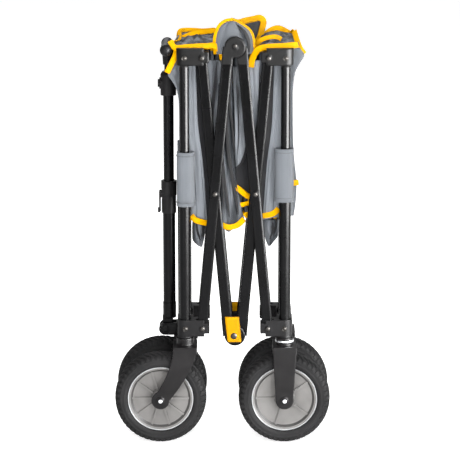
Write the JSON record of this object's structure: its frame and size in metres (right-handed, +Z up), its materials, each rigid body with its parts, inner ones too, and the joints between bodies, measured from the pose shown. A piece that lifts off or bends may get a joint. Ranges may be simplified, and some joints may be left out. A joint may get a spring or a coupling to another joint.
{
  "type": "wagon with pull handle",
  "caption": "Folding utility wagon stored folded: crossed bars, telescoping corner posts, a gathered cloth tub, large ribbed wheels, casters and a telescoping pull handle.",
  "frame": {"origin": "on the floor under the centre of the folded wagon", "axes": "+Z up; -X towards the pull handle and the casters; -Y the near side"},
  "size_m": [0.418, 0.1868, 0.8238],
  "materials": {
    "black_steel": "satin powder coat",
    "black_plastic": "matte moulded",
    "tyre": "matte",
    "rim": "silver-grey satin",
    "wall_cloth": "woven polyester",
    "floor_cloth": "woven polyester",
    "yellow_strap": "webbing"
  },
  "bodies": {
    "base_fn": {"post_fn": "black_steel", "hub_low_fn": "black_plastic"},
    "base_ff": {"post_ff": "black_steel", "hub_low_ff": "black_plastic"},
    "base_rn": {"post_rn": "black_steel", "hub_low_rn": "black_plastic", "fork_rn": "black_plastic"},
    "base_rf": {"post_rf": "black_steel", "hub_low_rf": "black_plastic", "fork_rf": "black_plastic"},
    "top_fn": {"upper_fn": "black_steel", "wall_corner": "wall_cloth"},
    "top_ff": {"upper_ff": "black_steel", "wall_far_front": "wall_cloth"},
    "top_rn": {"upper_rn": "black_steel", "wall_rear_near": "wall_cloth"},
    "top_rf": {"upper_rf": "black_steel", "sleeve_rf": "wall_cloth"},
    "rise_fn": {"rise_fn": "black_steel"},
    "fall_fn": {"fall_fn": "black_steel", "strap_near": "yellow_strap"},
    "rise_rn": {"rise_rn": "black_steel"},
    "fall_rn": {"fall_rn": "black_steel"},
    "rise_ff": {"rise_ff": "black_steel"},
    "fall_ff": {"fall_ff": "black_steel", "strap_far": "yellow_strap"},
    "rise_rf": {"rise_rf": "black_steel"},
    "fall_rf": {"fall_rf": "black_steel"},
    "front_bar_near": {"front_bar_near": "black_steel"},
    "front_bar_far": {"front_bar_far": "black_steel"},
    "rear_bar_near": {"rear_bar_near": "black_steel"},
    "rear_bar_far": {"rear_bar_far": "black_steel"},
    "caster_fn": {"caster_fn": "black_plastic"},
    "caster_ff": {"caster_ff": "black_plastic"},
    "wheel_fn": {"tyre_fn": "tyre", "rim_fn": "rim"},
    "wheel_ff": {"tyre_ff": "tyre", "rim_ff": "rim"},
    "wheel_rn": {"tyre_rn": "tyre", "rim_rn": "rim"},
    "wheel_rf": {"tyre_rf": "tyre", "rim_rf": "rim"},
    "hanger": {"hanger": "black_steel"},
    "handle_outer": {"handle_outer": "black_steel", "lower_lock": "black_plastic"},
    "lock_lever": {"lock_lever": "black_plastic"},
    "handle_mid": {"handle_mid": "black_steel", "upper_lock": "black_plastic"},
    "release_button": {"release_button": "black_plastic"},
    "handle_inner": {"handle_inner": "black_steel", "grip": "black_plastic"},
    "near_rear_cloth": {"wall_near_rear": "wall_cloth"},
    "far_rear_cloth": {"wall_far_rear": "wall_cloth"},
    "front_far_cloth": {"wall_front_far": "wall_cloth"},
    "rear_far_cloth": {"wall_rear_far": "wall_cloth"},
    "floor_near": {"floor_near": "floor_cloth"},
    "floor_near_rear": {"floor_near_rear": "floor_cloth"},
    "floor_far": {"floor_far": "floor_cloth"},
    "floor_far_rear": {"floor_far_rear": "floor_cloth"}
  },
  "joints": [
    {"name": "fold", "type": "hinge", "parent": "base_fn", "child": "rise_fn", "pos_m": [-0.039, -0.06339, 0.229], "axis": [0, 1, 0], "range_deg": [0, 44.9]},
    {"name": "cross_fn", "type": "hinge", "parent": "rise_fn", "child": "fall_fn", "pos_m": [-0.01461, -0.05739, 0.49237], "axis": [0, 1, 0], "range_deg": [-89.81, 0]},
    {"name": "top_pivot_fn", "type": "hinge", "parent": "fall_fn", "child": "top_fn", "pos_m": [-0.039, -0.05139, 0.75575], "axis": [0, 1, 0], "range_deg": [0, 44.91]},
    {"name": "mid_top_near", "type": "hinge", "parent": "rise_fn", "child": "rise_rn", "pos_m": [0.024, -0.06339, 0.77401], "axis": [0, 1, 0], "range_deg": [-89.81, 0]},
    {"name": "low_pivot_rn", "type": "hinge", "parent": "rise_rn", "child": "base_rn", "pos_m": [0.087, -0.06339, 0.229], "axis": [0, 1, 0], "range_deg": [0, 44.91]},
    {"name": "cross_rn", "type": "hinge", "parent": "rise_rn", "child": "fall_rn", "pos_m": [0.06261, -0.05739, 0.49237], "axis": [0, 1, 0], "range_deg": [0, 89.81]},
    {"name": "top_pivot_rn", "type": "hinge", "parent": "fall_rn", "child": "top_rn", "pos_m": [0.087, -0.05139, 0.75575], "axis": [0, 1, 0], "range_deg": [-44.91, 0]},
    {"name": "front_bar_low", "type": "hinge", "parent": "base_fn", "child": "front_bar_near", "pos_m": [-0.078, -0.02439, 0.229], "axis": [-1, 0, 0], "range_deg": [0, 44.91]},
    {"name": "front_cross", "type": "hinge", "parent": "front_bar_near", "child": "front_bar_far", "pos_m": [-0.072, 0, 0.49237], "axis": [-1, 0, 0], "range_deg": [-89.81, 0]},
    {"name": "front_bar_far_low", "type": "hinge", "parent": "front_bar_far", "child": "base_ff", "pos_m": [-0.066, 0.02439, 0.229], "axis": [-1, 0, 0], "range_deg": [0, 44.91]},
    {"name": "hanger_pivot", "type": "hinge", "parent": "front_bar_near", "child": "hanger", "pos_m": [-0.083, 0, 0.49237], "axis": [-1, 0, 0], "range_deg": [-44.91, 0]},
    {"name": "fold_rise_ff", "type": "hinge", "parent": "base_ff", "child": "rise_ff", "pos_m": [-0.039, 0.06339, 0.229], "axis": [0, 1, 0], "range_deg": [0, 44.91]},
    {"name": "cross_ff", "type": "hinge", "parent": "rise_ff", "child": "fall_ff", "pos_m": [-0.01461, 0.05739, 0.49237], "axis": [0, 1, 0], "range_deg": [-89.81, 0]},
    {"name": "top_pivot_ff", "type": "hinge", "parent": "fall_ff", "child": "top_ff", "pos_m": [-0.039, 0.05139, 0.75575], "axis": [0, 1, 0], "range_deg": [0, 44.91]},
    {"name": "mid_top_far", "type": "hinge", "parent": "rise_ff", "child": "rise_rf", "pos_m": [0.024, 0.06339, 0.77401], "axis": [0, 1, 0], "range_deg": [-89.81, 0]},
    {"name": "low_pivot_rf", "type": "hinge", "parent": "rise_rf", "child": "base_rf", "pos_m": [0.087, 0.06339, 0.229], "axis": [0, 1, 0], "range_deg": [0, 44.91]},
    {"name": "cross_rf", "type": "hinge", "parent": "rise_rf", "child": "fall_rf", "pos_m": [0.06261, 0.05739, 0.49237], "axis": [0, 1, 0], "range_deg": [0, 89.81]},
    {"name": "top_pivot_rf", "type": "hinge", "parent": "fall_rf", "child": "top_rf", "pos_m": [0.087, 0.05139, 0.75575], "axis": [0, 1, 0], "range_deg": [-44.91, 0]},
    {"name": "rear_bar_low", "type": "hinge", "parent": "base_rn", "child": "rear_bar_near", "pos_m": [0.126, -0.02439, 0.229], "axis": [-1, 0, 0], "range_deg": [0, 44.91]},
    {"name": "rear_cross", "type": "hinge", "parent": "rear_bar_near", "child": "rear_bar_far", "pos_m": [0.12, 0, 0.49237], "axis": [-1, 0, 0], "range_deg": [-89.81, 0]},
    {"name": "swivel_fn", "type": "hinge", "parent": "base_fn", "child": "caster_fn", "pos_m": [-0.072, -0.05739, 0.2], "axis": [0, 0, 1], "range_deg": [-12, 140]},
    {"name": "spin_fn", "type": "hinge", "parent": "caster_fn", "child": "wheel_fn", "pos_m": [-0.12, -0.05739, 0.089], "axis": [0, 1, 0], "continuous": true},
    {"name": "spin_rn", "type": "hinge", "parent": "base_rn", "child": "wheel_rn", "pos_m": [0.12, -0.05739, 0.089], "axis": [0, 1, 0], "continuous": true},
    {"name": "swivel_ff", "type": "hinge", "parent": "base_ff", "child": "caster_ff", "pos_m": [-0.072, 0.05739, 0.2], "axis": [0, 0, 1], "range_deg": [-140, 12]},
    {"name": "spin_ff", "type": "hinge", "parent": "caster_ff", "child": "wheel_ff", "pos_m": [-0.12, 0.05739, 0.089], "axis": [0, 1, 0], "continuous": true},
    {"name": "spin_rf", "type": "hinge", "parent": "base_rf", "child": "wheel_rf", "pos_m": [0.12, 0.05739, 0.089], "axis": [0, 1, 0], "continuous": true},
    {"name": "handle_swing", "type": "hinge", "parent": "hanger", "child": "handle_outer", "pos_m": [-0.112, 0, 0.213], "axis": [0, 1, 0], "range_deg": [-95, 0]},
    {"name": "handle_lower_slide", "type": "slide", "parent": "handle_outer", "child": "handle_mid", "axis": [0, 0, 1], "range_m": [0, 0.16]},
    {"name": "handle_upper_slide", "type": "slide", "parent": "handle_mid", "child": "handle_inner", "axis": [0, 0, 1], "range_m": [0, 0.19]},
    {"name": "lock_lever", "type": "hinge", "parent": "handle_outer", "child": "lock_lever", "pos_m": [-0.12, 0, 0.48], "axis": [0, 1, 0], "range_deg": [0, 80]},
    {"name": "release_button", "type": "slide", "parent": "handle_mid", "child": "release_button", "axis": [1, 0, 0], "range_m": [0, 0.003], "stiffness_N_per_m": 400, "springref_m": -0.001},
    {"name": "near_rear_cloth", "type": "slide", "parent": "top_fn", "child": "near_rear_cloth", "axis": [1, 0, 0], "range_m": [0, 0.73276]},
    {"name": "far_rear_cloth", "type": "slide", "parent": "top_ff", "child": "far_rear_cloth", "axis": [1, 0, 0], "range_m": [0, 0.73276]},
    {"name": "front_far_cloth", "type": "slide", "parent": "top_fn", "child": "front_far_cloth", "axis": [0, 1, 0], "range_m": [0, 0.35769]},
    {"name": "rear_far_cloth", "type": "slide", "parent": "top_rn", "child": "rear_far_cloth", "axis": [0, 1, 0], "range_m": [0, 0.35769]},
    {"name": "floor_near", "type": "hinge", "parent": "top_fn", "child": "floor_near", "pos_m": [0, -0.02, 0.444], "axis": [-1, 0, 0], "range_deg": [0, 90.01]},
    {"name": "floor_near_rear", "type": "slide", "parent": "floor_near", "child": "floor_near_rear", "axis": [1, 0, 0], "range_m": [0, 0.73276]},
    {"name": "floor_far", "type": "hinge", "parent": "top_ff", "child": "floor_far", "pos_m": [0, 0.02, 0.444], "axis": [1, 0, 0], "range_deg": [0, 90.01]},
    {"name": "floor_far_rear", "type": "slide", "parent": "floor_far", "child": "floor_far_rear", "axis": [1, 0, 0], "range_m": [0, 0.73276]}
  ],
  "couplings": [
    {"joint": "cross_fn", "follows": "fold", "ratio": -2},
    {"joint": "top_pivot_fn", "follows": "fold", "ratio": 1},
    {"joint": "mid_top_near", "follows": "fold", "ratio": -2},
    {"joint": "low_pivot_rn", "follows": "fold", "ratio": 1},
    {"joint": "cross_rn", "follows": "fold", "ratio": 2},
    {"joint": "top_pivot_rn", "follows": "fold", "ratio": -1},
    {"joint": "front_bar_low", "follows": "fold", "ratio": 1},
    {"joint": "front_cross", "follows": "fold", "ratio": -2},
    {"joint": "front_bar_far_low", "follows": "fold", "ratio": 1},
    {"joint": "hanger_pivot", "follows": "fold", "ratio": -1},
    {"joint": "fold_rise_ff", "follows": "fold", "ratio": 1},
    {"joint": "cross_ff", "follows": "fold", "ratio": -2},
    {"joint": "top_pivot_ff", "follows": "fold", "ratio": 1},
    {"joint": "mid_top_far", "follows": "fold", "ratio": -2},
    {"joint": "low_pivot_rf", "follows": "fold", "ratio": 1},
    {"joint": "cross_rf", "follows": "fold", "ratio": 2},
    {"joint": "top_pivot_rf", "follows": "fold", "ratio": -1},
    {"joint": "rear_bar_low", "follows": "fold", "ratio": 1},
    {"joint": "rear_cross", "follows": "fold", "ratio": -2},
    {"joint": "near_rear_cloth", "follows": "fold", "m_per_rad": 0.93493},
    {"joint": "far_rear_cloth", "follows": "fold", "m_per_rad": 0.93493},
    {"joint": "front_far_cloth", "follows": "fold", "m_per_rad": 0.45631},
    {"joint": "rear_far_cloth", "follows": "fold", "m_per_rad": 0.45631},
    {"joint": "floor_near", "follows": "fold", "ratio": 2.0045},
    {"joint": "floor_near_rear", "follows": "fold", "m_per_rad": 0.93493},
    {"joint": "floor_far", "follows": "fold", "ratio": 2.0045},
    {"joint": "floor_far_rear", "follows": "fold", "m_per_rad": 0.93493}
  ]
}
